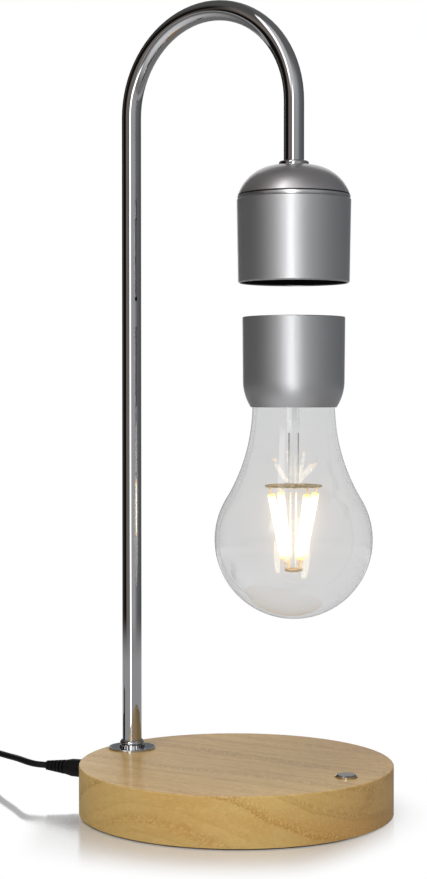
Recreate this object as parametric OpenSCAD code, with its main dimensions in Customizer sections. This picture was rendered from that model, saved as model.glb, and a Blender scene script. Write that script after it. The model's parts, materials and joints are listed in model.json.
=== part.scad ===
// Levitating bulb lamp: a turned wooden base carries a bent chrome neck and a magnet head,
// and a filament bulb floats in the gap below the head.
// Millimetres, +Z up. The origin is on the standing surface under the middle of the base.
// +X runs from the foot of the neck towards the head and the button.

/* [Base] */
// Diameter of the wooden base
base_d = 150; // [140:1:170]
// Height of the wooden base
base_h = 23; // [21:0.2:30]
// Rounding of the upper edge of the base
base_round = 0.6; // [0.4:0.2:3]
// Thickness of the wood over the hollow
top_wall = 4; // [3:0.5:6]
// Thickness of the wood round the hollow
side_wall = 10; // [9:0.5:10.5]
// Thickness of the bottom plate
plate_t = 2; // [1.5:0.1:3]
// Width of the wood left outside the bottom plate
plate_margin = 3.5; // [2.5:0.1:5]
// Height of the rubber feet below the wood
feet_h = 0.6; // [0.4:0.1:4]
// Diameter of a rubber foot
feet_d = 12; // [8:0.5:16]
// Distance of the rubber feet from the middle
feet_ring_r = 56; // [45:1:58]
// Diameter of a plate screw's head
screw_head_d = 4; // [3:0.1:5]
// Diameter of a plate screw's shank
screw_d = 2.2; // [1.6:0.1:3]
// Length of a plate screw
screw_len = 10; // [7:0.5:13]

/* [Button] */
// Distance of the button's axis from the edge of the base
button_inset = 14.5; // [14:0.5:20]
// Diameter of the button
button_d = 10; // [7:0.5:11]
// Height of the button above the wood
button_proud = 1.3; // [1:0.1:3]
// Travel of the button
button_travel = 0.8; // [0.3:0.1:1]
// Diameter of the button's stem
button_stem_d = 4; // [3:0.1:5]

/* [Power inlet] */
// Turn of the power inlet round the base, from the neck's foot
jack_turn = 10.5; // [10.5:0.5:25]
// Room between the circuit board and the wood above it
board_room = 12.3; // [12:0.1:14]
// Thickness of the circuit board
board_t = 1.6; // [1:0.1:2]
// Height of the inlet's axis above the circuit board
jack_axis_h = 6.5; // [5.5:0.1:7]
// Width of the inlet's block
jack_w = 9; // [8:0.1:9.4]
// Diameter of the inlet's round nose
jack_nose_d = 9; // [8:0.1:10]
// Bore of the inlet
jack_bore_d = 6.4; // [6:0.1:7]
// Diameter of the inlet's centre pin
jack_pin_d = 2; // [1.6:0.1:2.2]
// Depth of the inlet's bore
jack_bore_depth = 12; // [10.5:0.5:14]

/* [Neck] */
// Outer diameter of the neck tube
tube_d = 9.5; // [8:0.1:11]
// Wall of the neck tube
tube_wall = 1; // [0.6:0.1:1.4]
// Distance of the neck's axis from the edge of the base
foot_inset = 13; // [13:0.5:18]
// Distance of the head's axis from the middle of the base
head_x = 32; // [20:0.5:44]
// Straight height of the neck above the base
post_h = 312; // [280:1:360]
// Straight drop from the crook to the head
head_drop = 30; // [20:1:50]
// Diameter of the washer under the neck's foot
foot_washer_d = 23.2; // [20:0.2:24]
// Thickness of the washer under the neck's foot
foot_washer_t = 1; // [0.6:0.1:2]
// Diameter over the teeth of the lock washer
lock_washer_d = 12.8; // [12:0.1:15]
// Thickness of the lock washer
lock_washer_t = 1; // [0.6:0.1:1.5]
// Number of teeth on the lock washer
lock_washer_teeth = 26; // [12:1:32]
// Diameter of the collar at the neck's foot
foot_collar_d = 12; // [11.6:0.1:16]
// Height of the collar at the neck's foot
foot_collar_h = 2.4; // [1.6:0.1:4]
// Width over the flats of the neck's nuts
nut_flats = 12; // [11.8:0.1:12.4]
// Thickness of the neck's nuts
nut_t = 3; // [2:0.1:4]
// Length of tube that stands out past a nut
tube_past_nut = 0.6; // [0.3:0.1:1.2]
// Diameter of the bundle of wires in the neck
loom_d = 6; // [4:0.1:6.2]
// Bend radius of the wires under the neck
loom_bend_r = 5; // [4:0.1:5.2]

/* [Head] */
// Diameter of the washer on top of the dome
head_washer_d = 14; // [12:0.2:18]
// Thickness of the washer on top of the dome
head_washer_t = 2; // [0.8:0.1:3]
// Height of the dome
dome_h = 13.6; // [11:0.1:18]
// Radius of the dome at the seam
dome_r = 26; // [25.7:0.1:27]
// Thickness of the dome and the shell
head_wall = 1; // [0.8:0.1:1.2]
// Radius of the head shell at the seam
shell_top_r = 26.6; // [26.3:0.1:28]
// Radius of the head shell at its lower rim
shell_rim_r = 25.95; // [25.2:0.05:27]
// Height of the head shell
shell_h = 39; // [38:0.5:48]
// Radius of the bright ring at the seam
trim_r = 26.3; // [26:0.1:27]
// Height of the bright ring at the seam
trim_h = 0.9; // [0.8:0.1:2]
// Fine groove above and below the bright ring
trim_groove = 0.5; // [0.1:0.05:0.6]
// Thickness of the black floor of the head
floor_t = 2; // [1.5:0.1:3]
// Depth of the black floor above the rim
floor_recess = 0.5; // [0.3:0.1:1.5]
// Radius of the electromagnet's iron core
core_r = 6; // [4:0.1:8]
// Radius of the electromagnet's winding
winding_r = 17; // [12:0.5:19]
// Height of the electromagnet's winding
winding_h = 22; // [16:0.5:24]

/* [Bulb] */
// Gap between the head's rim and the floating bulb
float_gap = 15.8; // [10:0.2:25]
// Height of the bulb's metal cap with its lid
cap_h = 42; // [38:0.5:50]
// Radius of the cap at the lid
cap_top_r = 23.9; // [23:0.1:25]
// Radius of the cap where its lower edge starts to curve in
cap_low_r = 23.65; // [23:0.05:24.5]
// Radius of the curve at the cap's lower edge
cap_curve_r = 22.7; // [22:0.1:24]
// Height of the curve at the cap's lower edge
cap_curve_h = 12.4; // [11.5:0.1:12.8]
// Thickness of the cap
cap_wall = 1; // [0.8:0.1:1.2]
// Thickness of the lid
lid_t = 1.5; // [1:0.1:2.5]
// Radius of the glass globe
globe_r = 36.8; // [34:0.2:42]
// Radius of the glass neck
neck_r = 19.2; // [18.4:0.1:19.3]
// Radius of the hollow shoulder between globe and neck
shoulder_r = 85; // [70:1:110]
// Wall of the glass
glass_wall = 1; // [0.7:0.1:1.5]
// Radius of the lift magnet
magnet_r = 16; // [12:0.5:16]
// Height of the lift magnet
magnet_h = 8; // [5:0.5:9]

/* [Filaments] */
// Number of filaments
filament_count = 4; // [2:1:6]
// Turn of the filaments about the bulb's axis
filament_turn = 62; // [0:1:90]
// Thickness of a filament
filament_d = 3.2; // [2:0.1:4]
// Distance of a filament's upper end from the axis
filament_top_r = 12; // [9:0.1:14]
// Distance of a filament's lower end from the axis
filament_low_r = 5.2; // [5:0.1:8]
// Height of the filaments
filament_h = 29.4; // [25:0.2:40]
// Height of the filaments' upper ends above the middle of the globe
filament_rise = 21.1; // [16:0.1:24]
// Thickness of the wire frames
frame_wire_d = 0.9; // [0.6:0.1:1.4]
// Length of bare wire above a filament
frame_top_leg = 3.8; // [2:0.1:6]
// Length of bare wire below a filament
frame_low_leg = 5.8; // [3:0.1:6]
// Diameter of the glass rod that carries the frames
rod_d = 3.3; // [2.4:0.1:3.6]

/* [Cord] */
// Diameter of the cord
cord_d = 3.2; // [2.8:0.1:3.2]
// Length of the plug's grip and strain relief outside the base
plug_len = 27.5; // [26:0.5:36]
// Diameter of the plug's grip
plug_d = 8.8; // [8:0.1:9.6]
// Diameter of the strain relief at the cord
relief_d = 5; // [4.4:0.1:6]
// Outer diameter of the plug's metal barrel
barrel_d = 5.5; // [5:0.1:5.8]
// Length of the plug's metal barrel
barrel_len = 9.5; // [8:0.1:10]
// Turns of cord in the coil
coil_turns = 11.25; // [7.25:4:11.25]
// Layers of turns in the coil
coil_layers = 4; // [4]
// Distance between turns and between layers
coil_pitch = 3.7; // [3.65:0.05:4]
// Radius of the coil's outer turn
coil_r = 24.2; // [24:0.1:26]
// Width of the tie
tie_w = 5; // [3:0.5:8]
// Thickness of the tie
tie_t = 0.8; // [0.5:0.1:0.8]
// Width of the wall adapter
adapter_w = 36; // [30:1:40]
// Length of the wall adapter
adapter_len = 50; // [40:1:60]
// Height of the wall adapter
adapter_h = 26; // [25:1:34]
// Distance between the adapter's blades
blade_pitch = 12.7; // [12:0.1:13]
// Length of the adapter's blades
blade_len = 16; // [12:0.5:18]

/* [Hidden] */
$fn = 64;
cut = 1;
fit = 0.1;
running = 0.3;

wood = [0.75, 0.58, 0.36];
chrome = [0.72, 0.72, 0.74];
satin = [0.62, 0.61, 0.61];
black = [0.07, 0.07, 0.08];
copper = [0.72, 0.42, 0.22];
circuit = [0.10, 0.30, 0.16];
ferrite = [0.20, 0.20, 0.21];
clear = [0.85, 0.90, 0.92, 0.35];
glow = [1.0, 0.93, 0.72];

// Heights, from the standing surface up
base_z = feet_h;
top_z = base_z + base_h;
ceiling_z = top_z - top_wall;
crook_z = top_z + post_h;
crown_z = crook_z - head_drop;
seam_z = crown_z - dome_h;
trim_z = seam_z - trim_groove - trim_h;
shell_z = trim_z - trim_groove;
rim_z = shell_z - shell_h;
lid_z = rim_z - float_gap;
cap_z = lid_z - cap_h;

// Hollow of the base
base_r = base_d / 2;
foot_x = base_r - foot_inset;
button_x = base_r - button_inset;
hollow_r = base_r - side_wall;
plate_r = base_r - plate_margin;
screw_ring_r = (hollow_r + plate_r) / 2;
screw_count = 4;
screw_turn = 45;
feet_count = 4;
nut_corner_d = nut_flats / cos(30);
nut_pocket_r = nut_corner_d / 2 + 1;

// Circuit board and power inlet
board_z = ceiling_z - board_room;
board_r = hollow_r - 1.5;
post_d = 5;
post_ring_r = 50;
jack_z = board_z + jack_axis_h;
jack_angle = 180 + jack_turn;
jack_above = 4.5;
jack_front_r = base_r - 1;
jack_block_front_r = hollow_r - 1;
jack_block_len = 13;
plug_face_r = base_r + 0.2;
header_l = 7;
header_w = 10;
header_h = 8;
choke_x = -18;
choke_y = 14;
choke_d = 16;
choke_h = 8;
can_x = 6;
can_y = -22;
can_step = 11;
can_d = 8;
can_h = 10;
chip_x = -10;
chip_y = -6;
chip_step = 22;
chip_l = 9;
chip_w = 7;
chip_h = 1.6;
box_x = 10;
box_y = 24;
box_step = 12;
box_l = 10;
box_w = 6.5;
box_h = 4.5;
switch_margin = 1;
plug_end_r = plug_face_r + plug_len;

// Button
button_hole_d = button_d + 2 * running;
button_flange_d = button_d + 2.5;
button_flange_t = 1;
button_flange_z = ceiling_z - fit - button_flange_t;
switch_z = board_z + 4;
switch_w = 7;
plunger_z = switch_z + 0.6;
button_stem_z = plunger_z + button_travel + running;
spring_wire_d = 0.5;
spring_r = button_stem_d / 2 + 2 * spring_wire_d;
spring_turns = 6;

// Neck and the wires in it
crook_r = (foot_x + head_x) / 2;
crook_x = (head_x - foot_x) / 2;
neck_low_z = ceiling_z - nut_t - tube_past_nut;
neck_head_z = crown_z - head_wall - nut_t - tube_past_nut;
loom_run_z = neck_low_z - loom_bend_r;
loom_run_x = -foot_x + loom_bend_r;
loom_run_len = 8;

// Inside of the head, from its floor up
floor_z = rim_z + floor_recess;
floor_top_z = floor_z + floor_t;
spigot = 3;
spigot_wall = 1.2;
spigot_inset = 1.6;
seat_inset = 0.7;
rim_edge = 0.6;
seam_edge = 0.5;
sender_coil_t = 2;
sender_ferrite_t = 1.2;
sender_r = 23.2;
sender_hole_r = 12;
sensor_r = 9;
sensor_t = 1.2;
sensor_chip = [4, 3, 0.8];
bobbin_wall = 1.2;
bobbin_z = floor_top_z + sender_coil_t + sender_ferrite_t;
winding_z = bobbin_z + bobbin_wall;
bobbin_top_z = winding_z + winding_h + bobbin_wall;
core_low_z = floor_top_z + sensor_t + sensor_chip[2] + fit;
core_cap_h = 1.5;
loom_head_z = bobbin_top_z + core_cap_h + 0.5;

// Inside of the cap, from its lid down
lid_low_z = lid_z - lid_t;
magnet_z = lid_low_z - running - magnet_h;
receiver_hole_r = magnet_r + 0.6;
receiver_r = 22;
receiver_coil_t = 3;
receiver_ferrite_t = 1.3;
receiver_z = lid_low_z - receiver_coil_t - receiver_ferrite_t;
receiver_board_t = 1.4;
receiver_board_z = magnet_z - running - receiver_board_t;

// Glass
neck_z = cap_z + 1.3;
glass_top_z = cap_z + 9;
shoulder_x = neck_r + shoulder_r;
globe_z = neck_z - sqrt(pow(shoulder_r + globe_r, 2) - pow(shoulder_x, 2));
stem_flare_r = neck_r - glass_wall - fit;
stem_drop = 12;
stem_pinch_z = cap_z - stem_drop;
stem_pinch_r = rod_d / 2 + 1;
stem_foot = 6;
stem_wall = 1;
flare_h = 8;

// Filaments and their wire frames
filament_z = globe_z + filament_rise;
filament_low_z = filament_z - filament_h;
filament_slope = (filament_top_r - filament_low_r) / filament_h;
filament_lean = atan(filament_slope);
frame_z = filament_z + frame_top_leg;
frame_low_z = filament_low_z - frame_low_leg;
frame_r = filament_top_r + filament_slope * frame_top_leg;
frame_low_r = filament_low_r - filament_slope * frame_low_leg;
frame_ring_d = 1.2 * frame_wire_d;
weld_d = 1.5 * frame_wire_d;
lead_wire_d = 0.6;
hub_wall = 0.9;
rod_end = 0.6;

// Cord: the free stretch is chosen by hand, the coil follows a spiral
cord_sides = 8;
coil_sides = 6;
coil_rings = 24;
coil_x = -188;
coil_y = -12;
tie_gap = 0.2;
coil_z = tie_t + tie_gap + cord_d / 2;
coil_tail = 16;
layer_turns = coil_turns / coil_layers;
coil_inner_r = coil_r - coil_pitch * layer_turns;
coil_top_z = coil_z + (coil_layers - 1) * coil_pitch;
plug_axis = [cos(jack_angle), sin(jack_angle), 0];
plug_exit = [plug_end_r * plug_axis[0], plug_end_r * plug_axis[1], jack_z];
lead_points = concat(
    [plug_exit, plug_exit + 2 * cord_d * plug_axis],
    [
        [-112.5, -19.6, 13.9], [-118, -17.6, 14.1], [-123.5, -14.5, 14.0],
        [-129, -11.4, 13.6], [-134.5, -8.6, 13.0], [-140, -5.8, 12.3],
        [-146, -2.5, 11.5], [-152, 1.2, 10.6], [-158, 4.8, 9.2],
        [-164, 8.0, 7.5], [-170, 10.5, 5.7], [-175.5, 11.9, 4.1],
    ],
    [[coil_x + 2 * cord_d, coil_y + coil_r, coil_z], [coil_x + cord_d, coil_y + coil_r, coil_z]]
);
relief_ribs = 5;
adapter_round = 5;
adapter_relief_len = 12;
adapter_y = coil_y - coil_tail - adapter_relief_len;
adapter_x = coil_x - coil_r;
blade = [1.5, 6.3];

// Shared shapes

// Places its children on the head's axis
module on_head(z) {
    translate([head_x, 0, z]) children();
}

// Places its children on the axis of the neck's foot
module on_foot(z) {
    translate([-foot_x, 0, z]) children();
}

// Repeats its children round the vertical axis
module around(count, turn) {
    for (i = [0 : count - 1]) rotate(turn + i * 360 / count) children();
}

// Ring with a square section
module ring(outer_r, inner_r, h) {
    difference() {
        cylinder(r = outer_r, h = h);
        translate([0, 0, -cut]) cylinder(r = inner_r, h = h + 2 * cut);
    }
}

// Half section of a disc whose upper edge is rounded
module rounded_disc_section(r, h, edge) {
    square([r - edge, h]);
    square([r, h - edge]);
    translate([r - edge, h - edge]) circle(edge);
}

// Rod between two points of one vertical plane through the axis, given as distance and height
module leaning_rod(low_r, low_z, lean, length, d) {
    translate([low_r, 0, low_z]) rotate([0, lean, 0]) cylinder(d = d, h = length);
}

// Unit vector
function unit(v) = v / norm(v);

// Direction of a path at one of its points
function heading(path, i) = unit(path[min(i + 1, len(path) - 1)] - path[max(i - 1, 0)]);

// Points of one ring of a tube round a path
function ring_points(path, i, r, sides) =
    let (
        along = heading(path, i),
        side = unit(cross(along, [0, 0, 1])),
        above = cross(side, along)
    )
    [for (k = [0 : sides - 1])
        let (a = 360 * (k + 0.5) / sides)
        path[i] + r * (cos(a) * side + sin(a) * above)];

// Round tube along a path, as one closed skin of triangles
module swept_tube(path, d, sides) {
    rings = len(path);
    points = [for (i = [0 : rings - 1]) each ring_points(path, i, d / 2, sides)];
    walls = [
        for (i = [0 : rings - 2], k = [0 : sides - 1])
            let (
                a = i * sides + k,
                b = i * sides + (k + 1) % sides
            )
            each [[a, a + sides, b], [b, a + sides, b + sides]]
    ];
    low_end = [for (k = [1 : sides - 2]) [0, k, k + 1]];
    last = (rings - 1) * sides;
    high_end = [for (k = [1 : sides - 2]) [last, last + k + 1, last + k]];
    polyhedron(points = points, faces = concat(walls, low_end, high_end));
}

// Base

module base_body() {
    color(wood) difference() {
        translate([0, 0, base_z]) rotate_extrude() rounded_disc_section(base_r, base_h, base_round);
        translate([0, 0, base_z - cut]) cylinder(r = plate_r + fit, h = plate_t + cut);
        translate([0, 0, base_z]) cylinder(r = hollow_r, h = ceiling_z - base_z);
        on_foot(base_z) cylinder(r = nut_pocket_r, h = ceiling_z - base_z);
        on_foot(base_z) cylinder(d = tube_d + 2 * fit, h = base_h + cut);
        translate([button_x, 0, base_z]) cylinder(d = button_hole_d, h = base_h + cut);
        translate([button_x, 0, base_z]) cylinder(d = button_flange_d + 2 * running, h = ceiling_z - base_z);
        along_jack(0) cylinder(d = jack_nose_d + 2 * fit, h = base_d);
        around(screw_count, screw_turn) translate([screw_ring_r, 0, base_z])
            cylinder(d = screw_d + 2 * fit, h = screw_len + fit);
    }
}

module bottom_plate() {
    color(black) difference() {
        translate([0, 0, base_z]) cylinder(r = plate_r, h = plate_t);
        around(screw_count, screw_turn) translate([screw_ring_r, 0, base_z]) screw_shape(fit);
    }
}

// Countersunk screw, larger all round by the room asked for
module screw_shape(room) {
    head_r = screw_head_d / 2 + room;
    shank_r = screw_d / 2 + room;
    cylinder(r1 = head_r, r2 = shank_r, h = head_r - shank_r);
    cylinder(r = shank_r, h = screw_len);
}

module plate_screws() {
    color(chrome) around(screw_count, screw_turn) translate([screw_ring_r, 0, base_z]) screw_shape(0);
}

module rubber_feet() {
    color(black) around(feet_count, 0) translate([feet_ring_r, 0, 0]) difference() {
        cylinder(d1 = feet_d - 1, d2 = feet_d, h = feet_h);
        translate([0, 0, -cut]) cylinder(d = feet_d / 2, h = feet_h / 2 + cut);
    }
}

module control_board() {
    color(circuit) translate([0, 0, board_z - board_t]) difference() {
        cylinder(r = board_r, h = board_t);
        around(4, 45) translate([post_ring_r, 0, -cut]) cylinder(d = 3, h = board_t + 2 * cut);
    }
}

module board_posts() {
    color(chrome) around(4, 45) translate([post_ring_r, 0, board_z]) cylinder(d = post_d, h = board_room);
}

// Components on the board: connector, coil, smoothing capacitors, driver chips and the push switch
module board_parts() {
    color(ferrite) {
        translate([loom_run_x + loom_run_len, -header_w / 2, board_z]) cube([header_l, header_w, header_h]);
        translate([choke_x, choke_y, board_z]) cylinder(d = choke_d, h = choke_h);
        for (i = [0, 1]) translate([can_x, can_y - i * can_step, board_z]) cylinder(d = can_d, h = can_h);
        for (i = [0, 1]) translate([chip_x + i * chip_step, chip_y, board_z]) cube([chip_l, chip_w, chip_h]);
        for (i = [0, 1]) translate([box_x + i * box_step, box_y, board_z]) cube([box_l, box_w, box_h]);
        translate([button_x - switch_w / 2, -switch_w / 2, board_z])
            cube([switch_w / 2 + board_r - button_x - switch_margin, switch_w, switch_z - board_z]);
        translate([button_x, 0, switch_z]) cylinder(d = button_stem_d - 1, h = plunger_z - switch_z);
    }
}

// Turns its children so that their +Z runs outwards along the inlet's axis
module along_jack(r) {
    rotate(jack_angle) translate([r, 0, jack_z]) rotate([0, 90, 0]) children();
}

module dc_jack() {
    color(black) difference() {
        union() {
            rotate(jack_angle) translate([jack_block_front_r - jack_block_len, -jack_w / 2, board_z])
                cube([jack_block_len, jack_w, jack_axis_h + jack_above]);
            along_jack(jack_block_front_r - cut)
                cylinder(d = jack_nose_d, h = jack_front_r - jack_block_front_r + cut);
        }
        along_jack(jack_front_r - jack_bore_depth) cylinder(d = jack_bore_d, h = jack_bore_depth + cut);
    }
}

module jack_pin() {
    color(chrome) along_jack(jack_front_r - jack_bore_depth) {
        cylinder(d = jack_pin_d, h = jack_bore_depth - 3);
        translate([0, 0, jack_bore_depth - 3]) sphere(d = jack_pin_d);
    }
}

module touch_button() {
    bevel = 0.7;
    color(chrome) translate([button_x, 0, 0]) {
        translate([0, 0, button_flange_z]) cylinder(d = button_flange_d, h = button_flange_t);
        translate([0, 0, button_flange_z])
            cylinder(d = button_d, h = top_z + button_proud - bevel - button_flange_z);
        translate([0, 0, top_z + button_proud - bevel])
            cylinder(d1 = button_d, d2 = button_d - 2 * bevel, h = bevel);
        translate([0, 0, button_stem_z]) cylinder(d = button_stem_d, h = button_flange_z - button_stem_z);
    }
}

module button_spring() {
    low = switch_z + spring_wire_d;
    high = button_flange_z - spring_wire_d;
    steps = spring_turns * 8;
    path = [for (i = [0 : steps])
        let (a = 360 * spring_turns * i / steps)
        [button_x + spring_r * cos(a), spring_r * sin(a), low + (high - low) * i / steps]];
    color(chrome) swept_tube(path, spring_wire_d, coil_sides);
}

// Neck

module foot_washer() {
    edge = foot_washer_t / 3;
    color(chrome) on_foot(top_z) difference() {
        rotate_extrude() rounded_disc_section(foot_washer_d / 2, foot_washer_t, edge);
        translate([0, 0, -cut]) cylinder(d = tube_d + 2 * fit, h = foot_washer_t + 2 * cut);
    }
}

module lock_washer() {
    root_r = lock_washer_d / 2 - 0.7;
    tooth_w = 3.1416 * lock_washer_d / lock_washer_teeth / 2;
    color(chrome) on_foot(top_z + foot_washer_t) difference() {
        union() {
            cylinder(r = root_r, h = lock_washer_t);
            around(lock_washer_teeth, 0) translate([root_r - 0.5, -tooth_w / 2, 0])
                cube([lock_washer_d / 2 - root_r + 0.5, tooth_w, lock_washer_t]);
        }
        translate([0, 0, -cut]) cylinder(d = tube_d + 2 * fit, h = lock_washer_t + 2 * cut);
    }
}

module foot_collar() {
    bore_r = tube_d / 2 + fit;
    side_r = foot_collar_h / 2;
    color(chrome) on_foot(top_z + foot_washer_t + lock_washer_t) rotate_extrude() difference() {
        union() {
            square([foot_collar_d / 2 - side_r / 2, foot_collar_h]);
            intersection() {
                translate([foot_collar_d / 2 - side_r, side_r]) circle(side_r);
                square([foot_collar_d, foot_collar_h]);
            }
        }
        translate([-cut, -cut]) square([bore_r + cut, foot_collar_h + 2 * cut]);
    }
}

// Six-sided nut on the neck's thread
module neck_nut() {
    difference() {
        cylinder(d = nut_corner_d, h = nut_t, $fn = 6);
        translate([0, 0, -cut]) cylinder(d = tube_d + 2 * fit, h = nut_t + 2 * cut);
    }
}

module foot_nut() {
    color(chrome) on_foot(ceiling_z - nut_t) neck_nut();
}

// One leg, the crook and the other leg of something that follows the neck
module along_neck(d, foot_end_z, head_end_z) {
    on_foot(foot_end_z) cylinder(d = d, h = crook_z - foot_end_z);
    translate([crook_x, 0, crook_z]) rotate([90, 0, 0])
        rotate_extrude(angle = 180) translate([crook_r, 0]) circle(d = d);
    on_head(head_end_z) cylinder(d = d, h = crook_z - head_end_z);
}

module neck_tube() {
    color(chrome) difference() {
        along_neck(tube_d, neck_low_z, neck_head_z);
        along_neck(tube_d - 2 * tube_wall, neck_low_z - cut, neck_head_z - cut);
    }
}

module wire_loom() {
    color(black) {
        along_neck(loom_d, neck_low_z, loom_head_z);
        translate([loom_run_x, 0, neck_low_z]) rotate([90, 0, 0])
            rotate_extrude(angle = 90, start = 180) translate([loom_bend_r, 0]) circle(d = loom_d);
        translate([loom_run_x, 0, loom_run_z]) rotate([0, 90, 0]) cylinder(d = loom_d, h = loom_run_len);
    }
}

// Head

module head_washer() {
    edge = head_washer_t * 0.45;
    color(chrome) on_head(crown_z) difference() {
        rotate_extrude() rounded_disc_section(head_washer_d / 2, head_washer_t, edge);
        translate([0, 0, -cut]) cylinder(d = tube_d + 2 * fit, h = head_washer_t + 2 * cut);
    }
}

module head_nut() {
    color(chrome) on_head(crown_z - head_wall - nut_t) neck_nut();
}

// Half section of the dome: a flat crown as wide as the washer, then one arc down to the seam
module dome_section(inset) {
    flat_r = head_washer_d / 2;
    reach = dome_r - flat_r;
    arc_r = (pow(reach, 2) + pow(dome_h, 2)) / (2 * dome_h);
    arc_z = dome_h - arc_r;
    square([flat_r, dome_h - inset]);
    intersection() {
        translate([flat_r, arc_z]) circle(arc_r - inset);
        translate([flat_r - cut, 0]) square([reach + cut, dome_h]);
    }
}

module head_dome() {
    color(satin) on_head(seam_z) difference() {
        rotate_extrude() difference() {
            dome_section(0);
            dome_section(head_wall);
            translate([0, -cut]) square([dome_r - head_wall, cut + 0.01]);
        }
        cylinder(d = tube_d + 2 * fit, h = dome_h + cut);
    }
}

module head_trim_ring() {
    upper_r = dome_r - head_wall - spigot_inset;
    lower_r = shell_top_r - head_wall - 2 * fit;
    seat_r = dome_r - seat_inset;
    color(chrome) on_head(trim_z) difference() {
        union() {
            translate([0, 0, -spigot]) cylinder(r = lower_r, h = spigot);
            translate([0, 0, -trim_groove]) cylinder(r = seat_r, h = trim_h + 2 * trim_groove);
            cylinder(r = trim_r, h = trim_h);
            translate([0, 0, trim_h]) cylinder(r = upper_r, h = spigot);
        }
        translate([0, 0, -spigot - cut])
            cylinder(r = upper_r - spigot_wall, h = trim_h + 2 * spigot + 2 * cut);
    }
}

module head_shell() {
    side_h = shell_h - rim_edge - seam_edge;
    color(satin) on_head(rim_z) difference() {
        union() {
            cylinder(r1 = shell_rim_r - rim_edge, r2 = shell_rim_r, h = rim_edge);
            translate([0, 0, rim_edge]) cylinder(r1 = shell_rim_r, r2 = shell_top_r, h = side_h);
            translate([0, 0, rim_edge + side_h])
                cylinder(r1 = shell_top_r, r2 = shell_top_r - seam_edge, h = seam_edge);
        }
        translate([0, 0, -0.01])
            cylinder(r1 = shell_rim_r - head_wall, r2 = shell_top_r - head_wall, h = shell_h + 0.02);
    }
}

module head_floor() {
    color(black) on_head(floor_z) cylinder(r = shell_rim_r - head_wall - fit, h = floor_t);
}

module sensor_board() {
    color(circuit) on_head(floor_top_z) {
        cylinder(r = sensor_r, h = sensor_t);
        translate([-sensor_chip[0] / 2, -sensor_chip[1] / 2, sensor_t]) cube(sensor_chip);
    }
}

module sender_coil() {
    color(copper) on_head(floor_top_z) ring(sender_r, sender_hole_r, sender_coil_t);
}

module sender_ferrite() {
    color(ferrite) on_head(floor_top_z + sender_coil_t) ring(sender_r, sender_hole_r, sender_ferrite_t);
}

module magnet_core() {
    color(chrome) on_head(core_low_z) {
        cylinder(r = core_r, h = bobbin_top_z - core_low_z);
        translate([0, 0, bobbin_top_z - core_low_z]) cylinder(r = core_r + 4, h = core_cap_h);
    }
}

module magnet_bobbin() {
    hub_r = core_r + fit + bobbin_wall;
    flange_r = winding_r + 1;
    color(black) on_head(bobbin_z) difference() {
        union() {
            cylinder(r = flange_r, h = bobbin_wall);
            cylinder(r = hub_r, h = bobbin_top_z - bobbin_z);
            translate([0, 0, bobbin_top_z - bobbin_z - bobbin_wall]) cylinder(r = flange_r, h = bobbin_wall);
        }
        translate([0, 0, -cut]) cylinder(r = core_r + fit, h = bobbin_top_z - bobbin_z + 2 * cut);
    }
}

module magnet_winding() {
    hub_r = core_r + fit + bobbin_wall;
    color(copper) on_head(winding_z + fit) ring(winding_r, hub_r + fit, winding_h - 2 * fit);
}

// Bulb

module lift_magnet() {
    color(chrome) on_head(magnet_z) cylinder(r = magnet_r, h = magnet_h);
}

// Half section of the cap, straight above and curved in below
module cap_section(inset) {
    straight_h = cap_h - lid_t - cap_curve_h;
    intersection() {
        translate([cap_low_r - cap_curve_r, cap_curve_h]) circle(cap_curve_r - inset);
        square([cap_top_r, cap_curve_h]);
    }
    translate([0, cap_curve_h]) polygon([
        [0, 0],
        [cap_low_r - inset, 0],
        [cap_top_r - inset, straight_h],
        [0, straight_h],
    ]);
}

module bulb_cap() {
    mouth_r = neck_r + running;
    body_h = cap_h - lid_t;
    color(satin) on_head(cap_z) difference() {
        rotate_extrude() difference() {
            cap_section(0);
            cap_section(cap_wall);
        }
        translate([0, 0, -cut]) cylinder(r = mouth_r, h = cap_curve_h + cut);
        translate([0, 0, body_h - cut]) cylinder(r = cap_top_r - cap_wall, h = 2 * cut);
    }
}

module cap_lid() {
    spigot = 1;
    color(satin) on_head(lid_low_z) {
        rotate_extrude() rounded_disc_section(cap_top_r, lid_t, 0.4);
        translate([0, 0, -spigot]) ring(cap_top_r - cap_wall - fit, receiver_r + fit, spigot + 0.2);
    }
}

module receiver_coil() {
    color(copper) on_head(lid_low_z - receiver_coil_t) ring(receiver_r, receiver_hole_r, receiver_coil_t);
}

module receiver_ferrite() {
    color(ferrite) on_head(receiver_z) ring(receiver_r, receiver_hole_r, receiver_ferrite_t);
}

module receiver_board() {
    chip = [6, 5, 1.2];
    color(circuit) on_head(receiver_board_z) {
        cylinder(r = cap_low_r - cap_wall - fit, h = receiver_board_t);
        for (x = [-12, 6]) translate([x, -chip[1] / 2, -chip[2]]) cube(chip);
    }
}

// Half section of the glass, set in from the outside: globe, hollow shoulder and neck
module glass_section(inset) {
    intersection() {
        translate([0, globe_z]) circle(globe_r - inset);
        translate([0, globe_z - globe_r]) square([globe_r, 2 * globe_r]);
    }
    difference() {
        polygon([[0, globe_z], [shoulder_x, neck_z], [0, neck_z]]);
        translate([shoulder_x, neck_z]) circle(shoulder_r + inset, $fn = 360);
    }
    translate([0, neck_z - cut]) square([neck_r - inset, glass_top_z - neck_z + cut]);
}

module glass_envelope() {
    color(clear) on_head(0) rotate_extrude($fn = 128) difference() {
        glass_section(0);
        glass_section(glass_wall);
        translate([0, glass_top_z - cut]) square([neck_r - glass_wall, 2 * cut]);
    }
}

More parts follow.
